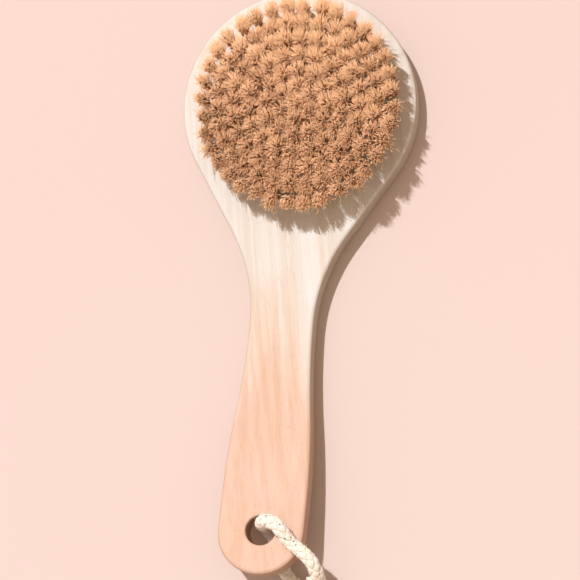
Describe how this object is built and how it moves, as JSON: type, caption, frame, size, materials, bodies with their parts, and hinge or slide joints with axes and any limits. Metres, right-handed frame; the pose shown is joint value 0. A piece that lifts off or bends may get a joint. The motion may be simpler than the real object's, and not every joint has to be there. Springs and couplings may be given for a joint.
{
  "type": "body dry brush",
  "caption": "Flat wooden bath brush with a round head of dense bristle tufts, a waisted handle and a knotted cotton hanging rope.",
  "frame": {"origin": "centre of the round head on its flat back face, which is the table the brush lies on", "axes": "+Z out of the back face through the bristles, -Y along the handle to the hanging hole, +X across the head"},
  "size_m": [0.1, 0.2855, 0.031],
  "materials": {
    "board_wood": "fine sanded pale wood with a thin satin seal",
    "bristle": "dry natural fibre, slightly glossy along each fibre",
    "anchor_wire": "drawn flat wire",
    "rope_cotton": "matt braided cotton, off-white with grey flecks"
  },
  "bodies": {
    "root": {"board": "board_wood", "tufts_centre": "bristle", "tufts_ring_1": "bristle", "tufts_ring_2": "bristle", "tufts_ring_3": "bristle", "tufts_ring_4": "bristle", "tufts_ring_5": "bristle", "tufts_ring_6": "bristle", "anchors_centre": "anchor_wire", "anchors_ring_1": "anchor_wire", "anchors_ring_2": "anchor_wire", "anchors_ring_3": "anchor_wire", "anchors_ring_4": "anchor_wire", "anchors_ring_5": "anchor_wire", "anchors_ring_6": "anchor_wire", "rope_front_strand": "rope_cotton", "rope_back_strand": "rope_cotton", "rope_knot": "rope_cotton", "rope_tails": "rope_cotton"}
  },
  "joints": []
}
